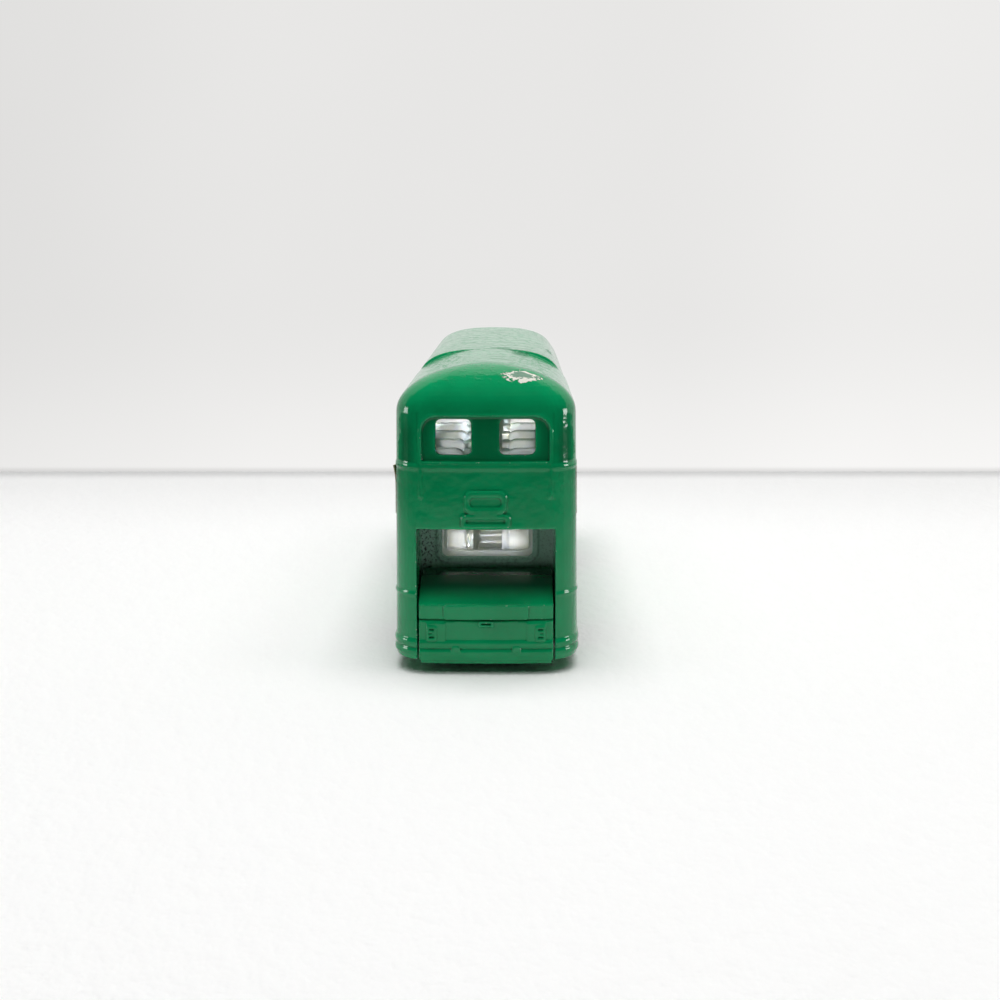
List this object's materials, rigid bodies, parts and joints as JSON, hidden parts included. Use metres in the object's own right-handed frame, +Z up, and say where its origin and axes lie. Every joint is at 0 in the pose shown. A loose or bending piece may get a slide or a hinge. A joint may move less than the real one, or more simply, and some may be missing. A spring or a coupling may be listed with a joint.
{
  "type": "toy double-deck bus",
  "caption": "Small die-cast double-deck toy bus with open windows, white seat decks, rear engine cover, paper side labels and free-rolling wheels on steel axles.",
  "frame": {"origin": "on the ground under the middle of the bus: the bottom centre of the bounding box", "axes": "+Y towards the front of the bus, +X towards its right-hand side, +Z up"},
  "size_m": [0.0208, 0.076, 0.0339],
  "materials": {
    "green_enamel": "gloss dark green stoved enamel over a zinc casting, worn",
    "green_enamel_base": "gloss dark green stoved enamel over a zinc casting",
    "white_plastic": "satin moulded white plastic, slightly yellowed",
    "axle_steel": "plain drawn steel with upset heads",
    "black_plastic": "moulded black plastic with a fine tread",
    "label_paper": "bare varnished paper, aged cream"
  },
  "bodies": {
    "bus_body": {"body_shell": "green_enamel", "base_casting": "green_enamel_base", "lower_deck_seats": "white_plastic", "upper_deck_seats": "white_plastic", "left_side_label": "label_paper", "right_side_label": "label_paper"},
    "front_axle": {"front_axle": "axle_steel"},
    "rear_axle": {"rear_axle": "axle_steel"},
    "front_left_wheel": {"front_left_wheel": "black_plastic"},
    "front_right_wheel": {"front_right_wheel": "black_plastic"},
    "rear_left_wheel": {"rear_left_wheel": "black_plastic"},
    "rear_right_wheel": {"rear_right_wheel": "black_plastic"}
  },
  "joints": [
    {"name": "front_axle_spin", "type": "hinge", "parent": "bus_body", "child": "front_axle", "pos_m": [0, 0.0192, 0.0045], "axis": [1, 0, 0], "continuous": true},
    {"name": "rear_axle_spin", "type": "hinge", "parent": "bus_body", "child": "rear_axle", "pos_m": [0, -0.0218, 0.0045], "axis": [1, 0, 0], "continuous": true},
    {"name": "front_left_wheel_spin", "type": "hinge", "parent": "front_axle", "child": "front_left_wheel", "pos_m": [-0.008, 0.0192, 0.0045], "axis": [1, 0, 0], "continuous": true},
    {"name": "front_right_wheel_spin", "type": "hinge", "parent": "front_axle", "child": "front_right_wheel", "pos_m": [0.008, 0.0192, 0.0045], "axis": [1, 0, 0], "continuous": true},
    {"name": "rear_left_wheel_spin", "type": "hinge", "parent": "rear_axle", "child": "rear_left_wheel", "pos_m": [-0.008, -0.0218, 0.0045], "axis": [1, 0, 0], "continuous": true},
    {"name": "rear_right_wheel_spin", "type": "hinge", "parent": "rear_axle", "child": "rear_right_wheel", "pos_m": [0.008, -0.0218, 0.0045], "axis": [1, 0, 0], "continuous": true}
  ]
}
